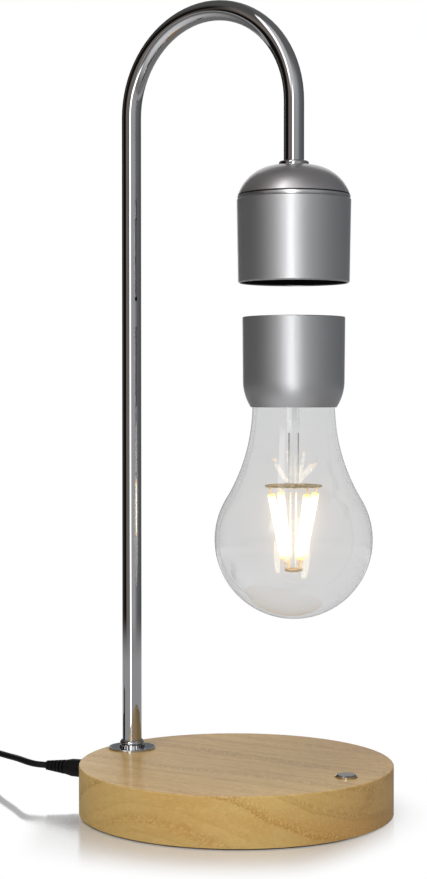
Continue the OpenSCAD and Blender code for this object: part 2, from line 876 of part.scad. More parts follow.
module glass_stem() {
    stem_h = glass_top_z - flare_h - stem_pinch_z;
    rod_z = frame_low_z - hub_wall - rod_end;
    color(clear) on_head(0) {
        translate([0, 0, rod_z]) cylinder(d = rod_d, h = stem_pinch_z - rod_z);
        translate([0, 0, stem_pinch_z]) difference() {
            union() {
                cylinder(r = stem_pinch_r, h = stem_h);
                translate([0, 0, stem_h]) cylinder(r1 = stem_pinch_r, r2 = stem_flare_r, h = flare_h);
            }
            translate([0, 0, stem_foot]) cylinder(r = stem_pinch_r - stem_wall, h = stem_h);
            translate([0, 0, stem_h])
                cylinder(r1 = stem_pinch_r - stem_wall, r2 = stem_flare_r - stem_wall, h = flare_h);
        }
    }
}

module lead_wires() {
    spread = (rod_d / 2 + stem_pinch_r) / 2 + lead_wire_d / 6;
    color(copper) on_head(0) around(2, filament_turn - 180 / filament_count)
        translate([spread, 0, frame_z + hub_wall])
            cylinder(d = lead_wire_d, h = stem_pinch_z - frame_z - hub_wall);
}

// A wire frame: hub on the rod, wire ring and spokes, with a leg in line with each filament
module wire_frame(ring_r, ring_z, leg_r, leg_z, leg_len) {
    rod_r = rod_d / 2 + fit;
    spoke_r = rod_r + hub_wall / 2;
    translate([0, 0, ring_z - hub_wall]) ring(rod_r + hub_wall, rod_r, 2 * hub_wall);
    translate([0, 0, ring_z]) rotate_extrude() translate([ring_r, 0]) circle(d = frame_ring_d, $fn = 24);
    around(filament_count, filament_turn) {
        translate([spoke_r, 0, ring_z]) rotate([0, 90, 0]) cylinder(d = frame_wire_d, h = ring_r - spoke_r);
        translate([ring_r, 0, ring_z]) sphere(d = weld_d);
        leaning_rod(leg_r, leg_z, filament_lean, leg_len, frame_wire_d);
    }
}

module top_frame() {
    leg = frame_top_leg / cos(filament_lean);
    color(copper) on_head(0) wire_frame(frame_r, frame_z, filament_top_r, filament_z, leg);
}

module bottom_frame() {
    leg = frame_low_leg / cos(filament_lean);
    color(copper) on_head(0) wire_frame(frame_low_r, frame_low_z, frame_low_r, frame_low_z, leg);
}

module led_filaments() {
    length = filament_h / cos(filament_lean);
    color(glow) on_head(0) around(filament_count, filament_turn)
        leaning_rod(filament_low_r, filament_low_z, filament_lean, length, filament_d);
}

// Cord and what is on it

// Ribbed strain relief that narrows towards the cord
module ribbed_relief(wide_d, narrow_d, length, ribs) {
    pitch = length / ribs;
    core_d = cord_d + 0.6;
    cylinder(d = core_d, h = length);
    for (i = [0 : ribs - 1]) {
        d = wide_d + (narrow_d - wide_d) * i / (ribs - 1);
        translate([0, 0, i * pitch + pitch * 0.35]) cylinder(d1 = d, d2 = d - 0.3, h = pitch * 0.65);
    }
}

module dc_plug() {
    grip_len = plug_len * 0.48;
    neck_len = plug_len * 0.14;
    relief_len = plug_len - grip_len - neck_len;
    throat_d = relief_d + 2;
    color(black) along_jack(plug_face_r) {
        cylinder(d1 = plug_d + 0.4, d2 = plug_d - 0.2, h = grip_len);
        translate([0, 0, grip_len]) cylinder(d1 = plug_d - 0.2, d2 = throat_d, h = neck_len);
        translate([0, 0, grip_len + neck_len]) ribbed_relief(throat_d, relief_d, relief_len, relief_ribs);
    }
}

module dc_plug_barrel() {
    bore_r = jack_pin_d / 2 + 0.25;
    color(chrome) along_jack(plug_face_r - barrel_len) ring(barrel_d / 2, bore_r, barrel_len);
}

module cord_lead() {
    color(black) swept_tube(lead_points, cord_d, cord_sides);
}

// Rise from 0 to 1 with level ends
function ease(x) = let (c = max(0, min(1, x))) c * c * (3 - 2 * c);

// Distance from the coil's axis after some turns: in, out, in and out again
function coil_radius(turn) =
    let (
        layer = min(floor(turn / layer_turns), coil_layers - 1),
        along = turn - layer * layer_turns
    )
    layer % 2 == 0 ? coil_r - coil_pitch * along : coil_inner_r + coil_pitch * along;

// Height after some turns: each climb takes the half turn where the spiral reverses
function coil_height(turn) =
    coil_z + coil_pitch * total([
        for (k = [1 : coil_layers - 1]) ease((turn - k * layer_turns) * 2 + 0.5)
    ]);

// Sum of a list
function total(v) = v * [for (i = v) 1];

function coil_point(turn) =
    let (a = 90 + 360 * turn)
    [coil_x + coil_radius(turn) * cos(a), coil_y + coil_radius(turn) * sin(a), coil_height(turn)];

function coil_path() = concat(
    [[coil_x + cord_d, coil_y + coil_r, coil_z]],
    [for (i = [0 : coil_turns * coil_rings]) coil_point(i / coil_rings)],
    [for (s = [1 : 2]) [coil_x - coil_r, coil_y - coil_tail * s / 2, coil_top_z]]
);

// Least clear distance between points of a path that lie more than half a turn apart
function self_gap(path, apart, d) = min([
    for (i = [0 : len(path) - 1 - apart], k = [i + apart : len(path) - 1]) norm(path[i] - path[k])
]) - d;

module cord_coil() {
    path = coil_path();
    echo(coil_gap = self_gap(path, coil_rings / 2, cord_d));
    color(black) swept_tube(path, cord_d, coil_sides);
}

// Flat band round the bundle of turns
module cord_tie() {
    room = 0.4;
    corner = 2;
    low_r = coil_inner_r - cord_d / 2 - room;
    high_r = coil_r + cord_d / 2 + room;
    span = [high_r - low_r, coil_top_z + cord_d / 2 + tie_gap - tie_t];
    color(black) translate([coil_x - tie_w / 2, coil_y - low_r, tie_t])
        rotate([90, 0, 90]) linear_extrude(tie_w) difference() {
            translate([-span[0] - tie_t, -tie_t]) rounded_square(span + 2 * [tie_t, tie_t], corner + tie_t);
            translate([-span[0], 0]) rounded_square(span, corner);
        }
}

// Rectangle with round corners
module rounded_square(size, r) {
    translate([r, 0]) square([size[0] - 2 * r, size[1]]);
    translate([0, r]) square([size[0], size[1] - 2 * r]);
    for (x = [r, size[0] - r], y = [r, size[1] - r]) translate([x, y]) circle(r);
}

module wall_adapter() {
    lip = 1.2;
    color(black) {
        difference() {
            translate([adapter_x - adapter_w / 2, adapter_y - adapter_len, 0])
                linear_extrude(adapter_h) rounded_square([adapter_w, adapter_len], adapter_round);
            adapter_blade_places() translate([0, 0, -3]) blade_shape(fit);
            translate([adapter_x - adapter_w / 2 - cut, adapter_y - adapter_len - cut, adapter_h * 0.55])
                difference() {
                    cube([adapter_w + 2 * cut, adapter_len + 2 * cut, lip]);
                    translate([cut + lip, cut + lip, -cut]) linear_extrude(lip + 2 * cut)
                        rounded_square([adapter_w - 2 * lip, adapter_len - 2 * lip], adapter_round - lip);
                }
        }
        translate([adapter_x, adapter_y, coil_top_z]) rotate([-90, 0, 0])
            ribbed_relief(relief_d + 2, relief_d, adapter_relief_len, relief_ribs);
    }
}

// Places its children where the blades leave the adapter's face
module adapter_blade_places() {
    for (x = [-1, 1])
        translate([adapter_x + x * blade_pitch / 2, adapter_y - adapter_len / 2, adapter_h]) children();
}

// Flat contact blade, larger all round by the room asked for
module blade_shape(room) {
    translate([-blade[0] / 2 - room, -blade[1] / 2 - room, 0])
        cube([blade[0] + 2 * room, blade[1] + 2 * room, blade_len + 3]);
}

module adapter_blades() {
    color(chrome) adapter_blade_places() translate([0, 0, -3]) blade_shape(0);
}

base_body();
bottom_plate();
plate_screws();
rubber_feet();
control_board();
board_posts();
board_parts();
dc_jack();
jack_pin();
touch_button();
button_spring();
foot_washer();
lock_washer();
foot_collar();
foot_nut();
neck_tube();
wire_loom();
head_washer();
head_nut();
head_dome();
head_trim_ring();
head_shell();
head_floor();
sensor_board();
sender_coil();
sender_ferrite();
magnet_core();
magnet_bobbin();
magnet_winding();
lift_magnet();
bulb_cap();
cap_lid();
receiver_coil();
receiver_ferrite();
receiver_board();
glass_envelope();
glass_stem();
lead_wires();
top_frame();
bottom_frame();
led_filaments();
dc_plug();
dc_plug_barrel();
cord_lead();
cord_coil();
cord_tie();
wall_adapter();
adapter_blades();
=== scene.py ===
import json
from math import acos, atan2, cos, floor, pi, radians, sin

import bmesh
import bpy
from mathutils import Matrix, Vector


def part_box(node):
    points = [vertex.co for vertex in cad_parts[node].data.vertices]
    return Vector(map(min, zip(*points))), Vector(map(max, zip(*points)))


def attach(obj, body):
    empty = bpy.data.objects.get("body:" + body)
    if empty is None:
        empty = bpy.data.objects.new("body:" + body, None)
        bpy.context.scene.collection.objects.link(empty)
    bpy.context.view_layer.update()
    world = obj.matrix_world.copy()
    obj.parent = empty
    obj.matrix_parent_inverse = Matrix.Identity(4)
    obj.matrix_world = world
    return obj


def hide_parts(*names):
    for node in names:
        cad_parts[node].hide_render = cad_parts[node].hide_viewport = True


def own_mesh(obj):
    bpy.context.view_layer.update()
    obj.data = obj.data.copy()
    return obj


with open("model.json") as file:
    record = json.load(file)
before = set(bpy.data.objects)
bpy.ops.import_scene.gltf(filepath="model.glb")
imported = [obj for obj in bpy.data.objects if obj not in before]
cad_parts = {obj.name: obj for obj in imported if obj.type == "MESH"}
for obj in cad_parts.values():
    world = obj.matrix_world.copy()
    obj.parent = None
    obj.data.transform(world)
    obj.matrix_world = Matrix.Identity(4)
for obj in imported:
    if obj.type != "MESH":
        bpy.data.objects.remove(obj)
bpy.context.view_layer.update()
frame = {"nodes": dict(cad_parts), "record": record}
scene = bpy.context.scene
NODES = frame["nodes"]
MM = 0.001
WHITE = (1.0, 1.0, 1.0, 1)
BLACK = (0, 0, 0, 1)


# Node graphs

class Value:
    """A socket of a node graph that takes part in plain arithmetic."""

    def __init__(self, graph, socket):
        self.graph = graph
        self.socket = socket

    def __add__(self, other):
        return self.graph.math("ADD", self, other)

    def __radd__(self, other):
        return self.graph.math("ADD", other, self)

    def __sub__(self, other):
        return self.graph.math("SUBTRACT", self, other)

    def __rsub__(self, other):
        return self.graph.math("SUBTRACT", other, self)

    def __mul__(self, other):
        return self.graph.math("MULTIPLY", self, other)

    def __truediv__(self, other):
        return self.graph.math("DIVIDE", self, other)

    def __pow__(self, other):
        return self.graph.math("POWER", self, other)


class Graph:
    """A node tree that is filled one node at a time."""

    def __init__(self, tree):
        self.tree = tree

    def node(self, kind, settings=None, inputs=None, output=0):
        made = self.tree.nodes.new(kind)
        for key, value in (settings or {}).items():
            if key == "stops":
                self.set_stops(made.color_ramp.elements, value)
            else:
                setattr(made, key, value)
        for key, value in (inputs or {}).items():
            socket = made.inputs[key]
            if isinstance(value, list):
                for each in value:
                    self.tree.links.new(each.socket, socket)
            elif isinstance(value, Value):
                self.tree.links.new(value.socket, socket)
            else:
                socket.default_value = value
        return Value(self, made.outputs[output]) if made.outputs else made

    def outputs(self, kind, inputs=None):
        """All outputs of one node, by name."""
        made = self.node(kind, {}, inputs).socket.node
        return {socket.name: Value(self, socket) for socket in made.outputs}

    def math(self, operation, *operands):
        return self.node("ShaderNodeMath", {"operation": operation}, dict(enumerate(operands)))

    @staticmethod
    def set_stops(elements, stops):
        while len(elements) < len(stops):
            elements.new(1.0)
        for element, (position, tint) in zip(elements, stops):
            element.position = position
            element.color = (*tint, 1.0) if len(tint) == 3 else tint

    def ramp(self, value, stops, smooth=False):
        stops = [(at, tint if isinstance(tint, tuple) else grey(tint)) for at, tint in stops]
        made = self.node("ShaderNodeValToRGB", {"stops": stops}, {"Fac": value})
        made.socket.node.color_ramp.interpolation = "EASE" if smooth else "LINEAR"
        return made

    def step(self, value, low, high):
        """Smooth rise from 0 to 1 between two values."""
        inputs = {"Value": value, "From Min": low, "From Max": high}
        return self.node("ShaderNodeMapRange", {"interpolation_type": "SMOOTHSTEP"}, inputs)

    def band(self, value, low, full_low, full_high, high):
        """Smooth rise between the first two values and fall between the last two."""
        return self.step(value, low, full_low) * self.step(value, high, full_high)

    def mix(self, share, first, second):
        return self.node("ShaderNodeMix", {"data_type": "RGBA"}, {0: share, 6: first, 7: second}, 2)


class Look(Graph):
    """One procedural material on an object's own coordinates."""

    def __init__(self, name):
        self.material = bpy.data.materials.new(name)
        self.material.use_nodes = True
        self.material.node_tree.nodes.clear()
        super().__init__(self.material.node_tree)
        self.place = self.node("ShaderNodeTexCoord", output="Object")

    def noise(self, scale, detail=3.0, roughness=0.5):
        """Grey noise; a triple scale stretches it along the axes."""
        where = self.place
        if isinstance(scale, tuple):
            where = self.node("ShaderNodeMapping", {}, {"Vector": where, "Scale": scale})
            scale = 1.0
        inputs = {"Vector": where, "Scale": scale, "Detail": detail, "Roughness": roughness}
        return self.node("ShaderNodeTexNoise", {}, inputs)

    def axes(self):
        return list(self.outputs("ShaderNodeSeparateXYZ", {0: self.place}).values())

    def bump(self, height, distance, strength=1.0):
        inputs = {"Height": height, "Distance": distance, "Strength": strength}
        return self.node("ShaderNodeBump", {}, inputs)

    def surface(self, **inputs):
        named = {key.replace("_", " "): value for key, value in inputs.items()}
        shader = self.node("ShaderNodeBsdfPrincipled", {}, named)
        self.node("ShaderNodeOutputMaterial", {}, {"Surface": shader})
        return self.material


def color(hex_code):
    """Linear colour from a screen colour."""
    parts = [int(hex_code[i:i + 2], 16) / 255 for i in (0, 2, 4)]
    linear = [c / 12.92 if c <= 0.04045 else ((c + 0.055) / 1.055) ** 2.4 for c in parts]
    return (*linear, 1.0)


def shade(tint, share):
    """A tint made darker or lighter."""
    return tuple(min(1.0, c * share) for c in tint[:3]) + (1.0,)


def grey(level):
    return (level, level, level, 1)


# Camera, fitted to the outlines in the photo

VIEW_TURN = radians(33.4)
VIEW_PITCH, VIEW_YAW = radians(1.332), radians(0.722)
VIEW_AWAY, VIEW_HEIGHT = 0.8618, 0.1979
SENSOR_MM, LENS_MM = 24, 49.44


def photo_camera():
    data = bpy.data.cameras.new("photo_camera")
    data.sensor_fit = "VERTICAL"
    data.sensor_height = SENSOR_MM
    data.lens = LENS_MM
    data.clip_start, data.clip_end = 0.05, 60
    camera = bpy.data.objects.new("photo_camera", data)
    scene.collection.objects.link(camera)
    camera.location = (VIEW_AWAY * sin(VIEW_TURN), -VIEW_AWAY * cos(VIEW_TURN), VIEW_HEIGHT)
    camera.rotation_euler = (pi / 2 - VIEW_PITCH, 0, VIEW_TURN + VIEW_YAW)
    scene.camera = camera


photo_camera()


# Cord, in the place of its solids; its route is in millimetres

CORD_D = 3.2 * MM
COIL_X, COIL_Y, COIL_R, COIL_PITCH = -188, -12, 24.2, 3.7
COIL_TURNS, COIL_LAYERS, COIL_Z, COIL_TAIL = 11.25, 4, 2.6, 16
LEAD = [
    (-100.98, -18.716, 13.8), (-107.27, -19.88, 13.85), (-112.5, -19.6, 14.15),
    (-118, -17.6, 14.2), (-123.5, -14.5, 13.85), (-129, -11.4, 13.35), (-134.5, -8.6, 12.9),
    (-140, -5.8, 12.5), (-146, -2.5, 12.0), (-152, 1.2, 11.2), (-158, 4.8, 9.8),
    (-164, 8.0, 7.9), (-170, 10.5, 5.85), (-175.5, 11.9, 4.1), (-181.6, 12.2, 2.85),
    (-184.8, 12.2, 2.6),
]
LEAD_STEPS, TURN_STEPS, TAIL_STEPS = 6, 48, 8


def ease(x):
    x = max(0.0, min(1.0, x))
    return x * x * (3 - 2 * x)


def coil_point(turn):
    """Point of the wound cord after some turns: in, out, in and out, a layer higher each time."""
    per_layer = COIL_TURNS / COIL_LAYERS
    layer = min(floor(turn / per_layer), COIL_LAYERS - 1)
    along = turn - layer * per_layer
    inner = COIL_R - COIL_PITCH * per_layer
    radius = COIL_R - COIL_PITCH * along if layer % 2 == 0 else inner + COIL_PITCH * along
    rise = sum(ease((turn - k * per_layer) * 2 + 0.5) for k in range(1, COIL_LAYERS))
    angle = pi / 2 + 2 * pi * turn
    x, y = COIL_X + radius * cos(angle), COIL_Y + radius * sin(angle)
    return (x, y, COIL_Z + COIL_PITCH * rise)


def through(points, steps):
    """Smooth line through points, a few steps for each stretch."""
    points = [Vector(p) for p in points]
    line = []
    for i in range(len(points) - 1):
        a, b = points[max(i - 1, 0)], points[i]
        c, d = points[i + 1], points[min(i + 2, len(points) - 1)]
        for s in range(steps):
            t = s / steps
            line.append(0.5 * (2 * b + (c - a) * t + (2 * a - 5 * b + 4 * c - d) * t ** 2
                               + (3 * b - a - 3 * c + d) * t ** 3))
    return line + [points[-1]]


def cord_line():
    """Middle of the cord in metres: lead, coil and the tail to the adapter."""
    top = COIL_Z + COIL_PITCH * (COIL_LAYERS - 1)
    turns = [coil_point(i / TURN_STEPS) for i in range(int(COIL_TURNS * TURN_STEPS) + 1)]
    tail = [(COIL_X - COIL_R, COIL_Y - COIL_TAIL * s / TAIL_STEPS, top)
            for s in range(1, TAIL_STEPS + 1)]
    return [tuple(MM * c for c in p) for p in through(LEAD, LEAD_STEPS) + turns + tail]


def supply_cord():
    line = cord_line()
    data = bpy.data.curves.new("supply_cord", "CURVE")
    data.dimensions = "3D"
    data.bevel_depth = 1.0  # times the radius of each point
    data.bevel_resolution = 4
    data.use_fill_caps = True
    spline = data.splines.new("POLY")
    spline.points.add(len(line) - 1)
    for point, place in zip(spline.points, line):
        point.co = (*place, 1)
        point.radius = CORD_D / 2
    cord = bpy.data.objects.new("supply_cord", data)
    scene.collection.objects.link(cord)
    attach(cord, "stand")
    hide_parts("cord_lead", "cord_coil")
    return cord


cord = supply_cord()


# Finishes

HEART_Y, HEART_Z, RING_WIDTH = -0.004, 0.091, 0.0047
TOP_FACE = (0.0228, 0.0234)
# Darker rings of the wood, from the heart outwards: inner edge, darkest, outer edge, depth, stain
STRONG_RINGS = [
    (0.0680, 0.0702, 0.0718, 0.50, "75571F"), (0.0808, 0.0821, 0.0826, 0.36, "7A5A26"),
    (0.0880, 0.0930, 0.0952, 0.44, "8A601E"), (0.1050, 0.1088, 0.1112, 0.36, "8F6426"),
]
DARKEST_WIDTH = 0.0004
# Noises of the wood: scale along and across the grain, detail, roughness
GRAIN = {
    "patch": ((16, 34, 70), 2.0, 0.5), "long_streak": ((6, 210, 210), 2.0, 0.5),
    "streak": ((30, 820, 820), 3.0, 0.55), "fibre": ((90, 3200, 3200), 2.0, 0.6),
    "mottle": ((260, 900, 900), 3.0, 0.65),
}
# Stains that follow them: noise, where the stain begins and is full, share, more on top, stain
STAINS = [
    ("patch", 0.50, 0.66, 0.30, -0.15, "A5783C"), ("patch", 0.50, 0.36, 0.24, -0.12, "B89A5C"),
    ("long_streak", 0.44, 0.34, 0.0, 0.40, "86623A"), ("streak", 0.42, 0.30, 0.14, 0.32, "76552B"),
    ("mottle", 0.48, 0.66, 0.18, 0.08, "C9AC70"), ("mottle", 0.46, 0.32, 0.06, 0.12, "80602F"),
    ("fibre", 0.48, 0.34, 0.12, 0.10, "745426"),
]


def pine():
    """Flat-sawn pine: rings about a heart above the board, broken dark fibres, a thin lacquer."""
    look = Look("pine")
    x, y, z = look.axes()
    bend = look.noise((7, 22, 22), 2.0)
    waver = look.noise((26, 90, 90), 2.0)
    out_y, out_z = y - HEART_Y, z - HEART_Z
    radius = (out_y * out_y + out_z * out_z) ** 0.5
    radius = radius + (bend - 0.5) * 0.010 + (waver - 0.5) * 0.0014
    ring = radius / RING_WIDTH
    chance = look.node("ShaderNodeTexWhiteNoise", {"noise_dimensions": "1D"},
                       {"W": look.math("FLOOR", ring)})
    late = look.ramp(look.math("FRACT", ring),
                     [(0.0, 0.0), (0.50, 0.12), (0.84, 0.65), (0.95, 1.0), (1.0, 0.0)])
    fleck = look.noise(1000, 1.0, 0.5)
    on_top = look.step(z, *TOP_FACE)
    grain = {name: look.noise(*sizes) for name, sizes in GRAIN.items()}
    tone = look.noise((9, 34, 34), 2.0)
    depth = late * (chance * 0.75 + 0.15)
    body = look.mix(tone, color("A3864F"), color("B69759"))
    body = look.mix(depth * 0.46, body, color("80591F"))
    # Painted shade: the wood darkens towards the right as seen from the camera, less on the top
    shade_to_right = look.step(x * cos(VIEW_TURN) + y * sin(VIEW_TURN), 0.010, 0.075)
    body = look.mix(shade_to_right * (0.76 - on_top * 0.48), body, color("8C683C"))
    # Painted sheen: the top face is greyed a little
    body = look.mix(on_top * 0.18, body, color("8E7052"))
    for inner, dark, outer, share, stain in STRONG_RINGS:
        within = look.band(radius, inner, dark, dark + DARKEST_WIDTH, outer)
        body = look.mix(within * look.step(fleck, 0.72, 0.40) * share, body, color(stain))
        light_fleck = look.step(fleck, 0.52, 0.66) * (share * 0.8)
        body = look.mix(within * light_fleck, body, color("CBAA6C"))
    for noise, begin, full, share, more_on_top, stain in STAINS:
        reach = look.step(grain[noise], begin, full) * (on_top * more_on_top + share)
        body = look.mix(reach, body, color(stain))
    relief = look.bump(grain["streak"] * 0.6 + grain["fibre"] * 0.4 - depth * 0.5, 0.00004, 0.5)
    return look.surface(Base_Color=body, Roughness=0.52 + (grain["streak"] - 0.5) * 0.14,
                        Specular_IOR_Level=0.25, Coat_Weight=on_top * 0.36 + 0.04,
                        Coat_Roughness=0.20, Normal=relief)


def polished(name, tint, rough, smudge):
    """Plated metal with faint smudges and hairlines."""
    look = Look(name)
    cloud = look.noise(60, 4.0, 0.6)
    hair = look.noise((3000, 3000, 60), 2.0)
    duller = look.ramp(cloud, [(0.35, 0.0), (0.75, 0.25)])
    tone = look.mix(duller, tint, shade(tint, 0.8))
    return look.surface(Base_Color=tone, Metallic=1.0, Roughness=rough + cloud * smudge,
                        Normal=look.bump(hair, 0.000004, 0.04))


def satin(name, tint, blur=0.47, shaded_groove=None, edge=None, coat=0.40):
    """Anodised metal with fine turning lines.

    Painted groove shade: given a middle, radius and height, it is black inside the radius and
    above the height; given an edge height, a painted black shade line runs below it.
    """
    look = Look(name)
    x, y, z = look.axes()
    metal = 1.0
    turned = look.noise((40, 40, 9000), 3.0, 0.7)
    grain = look.noise(2600, 2.0, 0.6)
    cloud = look.noise(45, 3.0)
    tone = look.mix(cloud, shade(tint, 0.96), shade(tint, 1.04))
    rough = blur + (turned - 0.5) * 0.08 + (grain - 0.5) * 0.06
    if shaded_groove:
        middle, radius, height = shaded_groove
        off = x - middle
        metal = look.step((off * off + y * y) ** 0.5, radius - 0.1 * MM, radius + 0.1 * MM)
        metal = metal + look.step(z, height, height - 0.1 * MM) * (1 - metal)
    if edge:
        metal = look.step(z, edge - 0.05 * MM, edge + 0.05 * MM)
    # Painted shade: where the groove or the shade line is black, the metal gives way to black
    if shaded_groove or edge:
        tone = look.mix(metal, grey(0.008), tone)
    return look.surface(Base_Color=tone, Metallic=metal, Roughness=rough, Coat_Weight=coat,
                        Coat_Roughness=0.12,
                        Normal=look.bump(turned * 0.7 + grain * 0.3, 0.00001, 0.5))


def moulded(name, tint, rough, grain_scale, depth, shine=0.25):
    """Moulded plastic or rubber with a fine even grain."""
    look = Look(name)
    grain = look.noise(grain_scale, 3.0, 0.6)
    cloud = look.noise(70, 3.0)
    tone = look.mix(look.ramp(cloud, [(0.3, 0.0), (0.8, 0.5)]), tint, shade(tint, 2.0))
    return look.surface(Base_Color=tone, Roughness=rough + (cloud - 0.5) * 0.14,
                        Specular_IOR_Level=shine, Normal=look.bump(grain, depth, 0.6))


def printed_board():
    """Green solder mask with copper tracks just showing under it."""
    look = Look("circuit_board")
    cells = look.node("ShaderNodeTexVoronoi", {"feature": "DISTANCE_TO_EDGE"},
                      {"Vector": look.place, "Scale": 260.0})
    track = look.ramp(cells, [(0.02, 1.0), (0.06, 0.0)])
    speck = look.noise(900, 2.0)
    tone = look.mix(track * 0.5, (0.012, 0.085, 0.035, 1), (0.05, 0.20, 0.08, 1))
    tone = look.mix(look.ramp(speck, [(0.4, 0.2), (0.7, 0.0)]), tone, (0.008, 0.05, 0.02, 1))
    return look.surface(Base_Color=tone, Roughness=0.35 + speck * 0.1,
                        Normal=look.bump(track, 0.00003, 0.5))


def wound_copper():
    """Enamelled wire laid turn by turn."""
    look = Look("copper")
    z = look.axes()[2]
    wire_pitch = 0.6 * MM
    wave = look.math("SINE", z * (2 * pi / wire_pitch))
    tone = look.mix(wave * 0.5 + 0.5, color("7E4420"), color("C27E4C"))
    return look.surface(Base_Color=tone, Metallic=0.8, Roughness=0.32 + look.noise(300) * 0.1,
                        Normal=look.bump(wave, 0.0001, 0.5))


def sintered(name, tint):
    """Pressed or turned iron with a speckled surface."""
    look = Look(name)
    speck = look.noise(1500, 3.0, 0.7)
    return look.surface(Base_Color=look.mix(speck, tint, shade(tint, 1.5)), Metallic=0.6,
                        Roughness=0.45 + speck * 0.2, Normal=look.bump(speck, 0.00002, 0.6))


def blown_glass(name, tint, ripple):
    """Clear glass with the faint unevenness of blowing."""
    look = Look(name)
    swell = look.noise(38, 1.0)
    return look.surface(Base_Color=tint, Roughness=0.0, IOR=1.47, Transmission_Weight=1.0,
                        Normal=look.bump(swell, ripple, 0.5))


FILAMENT_LOW, FILAMENT_RISE = 0.1232, 0.0294


def lit_phosphor():
    """Phosphor coat that glows white along its length and amber at both ends."""
    look = Look("filament")
    z = look.axes()[2]
    along = (z - FILAMENT_LOW) / FILAMENT_RISE
    grain = look.noise(700, 2.0)
    glow = look.ramp(along + (grain - 0.5) * 0.03, [
        (0.0, color("F2A445")), (0.05, color("FFD68A")), (0.12, color("FFF1D2")),
        (0.88, color("FFF1D2")), (0.95, color("FFD68A")), (1.0, color("F2A445")),
    ])
    return look.surface(Base_Color=color("F3D79A"), Roughness=0.6, Emission_Color=glow,
                        Emission_Strength=4.5, Normal=look.bump(grain, 0.00008, 0.5))


def drawn_wire(name, dull, bright, metal, glow, dark_z, lit_z):
    """Bare wire with draw marks, tanned by heat, with a painted glow of the filaments' light
    towards them.
    """
    look = Look(name)
    z = look.axes()[2]
    # Painted light: emission that stands in for the filaments' light on the wire
    lit = look.mix(look.step(z, dark_z, lit_z), BLACK, glow)
    cloud = look.noise(500, 3.0)
    tone = look.mix(look.step(cloud, 0.35, 0.65), color(dull), color(bright))
    return look.surface(Base_Color=tone, Metallic=metal, Roughness=0.35 + cloud * 0.2,
                        Emission_Color=lit, Emission_Strength=1.0,
                        Normal=look.bump(cloud, 0.00002, 0.5))


CHROME = (0.50, 0.50, 0.51, 1)
# Wires of the bulb: dull and bright colour, share of metal, painted glow of the filaments' light
FRAME_WIRE = ("D9C292", "FFF2D4", 0.15, (0.42, 0.34, 0.22, 1))
LEAD_WIRE = ("C9C7C2", "F4F3F0", 0.3, (0.46, 0.44, 0.41, 1))


def finishes():
    """Material for each slot of the record."""
    low_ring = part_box("bottom_frame")[0][2] + 0.5 * MM
    return {
        "wood": pine(),
        "neck_chrome": polished("neck_chrome", CHROME, 0.001, 0.002),
        "hardware": polished("hardware", (0.50, 0.52, 0.55, 1), 0.12, 0.10),
        "head_satin": satin("head_satin", (0.450, 0.453, 0.462, 1)),
        "cap_satin": satin("cap_satin", (0.440, 0.443, 0.453, 1), 0.475, coat=0.20),
        "plate_black": moulded("plate_black", grey(0.004), 0.60, 2200, 0.00003, 0.0),
        "feet_rubber": moulded("feet_rubber", grey(0.012), 0.75, 1400, 0.00006),
        "circuit_board": printed_board(),
        "component": moulded("component", (0.02, 0.02, 0.023, 1), 0.45, 1800, 0.00003),
        "copper": wound_copper(),
        "ferrite": sintered("ferrite", (0.02, 0.02, 0.022, 1)),
        "iron": sintered("iron", (0.16, 0.16, 0.17, 1)),
        "magnet": polished("magnet", (0.62, 0.61, 0.58, 1), 0.18, 0.10),
        "bulb_glass": blown_glass("bulb_glass", (0.822, 0.823, 0.824, 1), 0.00003),
        "stem_glass": blown_glass("stem_glass", (0.97, 0.975, 0.975, 1), 0.0001),
        "frame_wire": drawn_wire("frame_wire", *FRAME_WIRE, low_ring, low_ring + 2.5 * MM),
        "filament": lit_phosphor(),
        "plug_black": moulded("plug_black", grey(0.004), 0.42, 1800, 0.00003, 0.10),
        "cord_black": moulded("cord_black", grey(0.004), 0.45, 900, 0.00004, 0.15),
        "tie_black": moulded("tie_black", grey(0.014), 0.60, 1500, 0.00005),
        "adapter_black": moulded("adapter_black", (0.011, 0.011, 0.012, 1), 0.50, 1600, 0.00004),
    }


def dress(piece, material):
    piece.data.materials.clear()
    piece.data.materials.append(material)


def dress_apart():
    """Finishes of single nodes that differ from their slot's."""
    # Painted shade: the ring is black in its groove above its middle height
    low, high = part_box("head_trim_ring")
    shaded_groove = ((low[0] + high[0]) / 2, (high[0] - low[0]) / 2 - 0.4 * MM, (low[2] + high[2]) / 2)
    dress(NODES["head_trim_ring"], satin("seam_ring", (0.56, 0.565, 0.57, 1), 0.32, shaded_groove=shaded_groove))
    # Painted shade: a thin black shade line runs along the dome's bottom
    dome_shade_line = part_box("head_dome")[0][2] + 0.3 * MM
    # Painted light: the dome is the shell's satin in a lighter tint, for the light that falls on it
    dome_satin = satin("dome_satin", (0.580, 0.560, 0.568, 1), 0.40, edge=dome_shade_line)
    dress(NODES["head_dome"], dome_satin)
    washer_chrome = polished("washer_chrome", CHROME, 0.03, 0.03)
    for name in ("foot_washer", "lock_washer", "foot_collar", "head_washer"):
        dress(NODES[name], washer_chrome)
    button_metal = polished("button_metal", (0.58, 0.53, 0.46, 1), 0.08, 0.04)
    dress(NODES["touch_button"], button_metal)
    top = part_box("top_frame")[1][2]
    upper_wire = drawn_wire("upper_wire", *FRAME_WIRE, top - 0.9 * MM, top - 2.2 * MM)
    dress(NODES["top_frame"], upper_wire)
    low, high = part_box("lead_wires")
    dress(NODES["lead_wires"], drawn_wire("lead_wire", *LEAD_WIRE, high[2], low[2]))


FINISH = finishes()
for part in frame["record"]["subparts"]:
    dress(NODES[part["node"]], FINISH[part["material_slot"]])
dress_apart()
dress(cord, FINISH["cord_black"])


# Pieces drawn here in the place of their solids

SHARP_EDGE = radians(40)


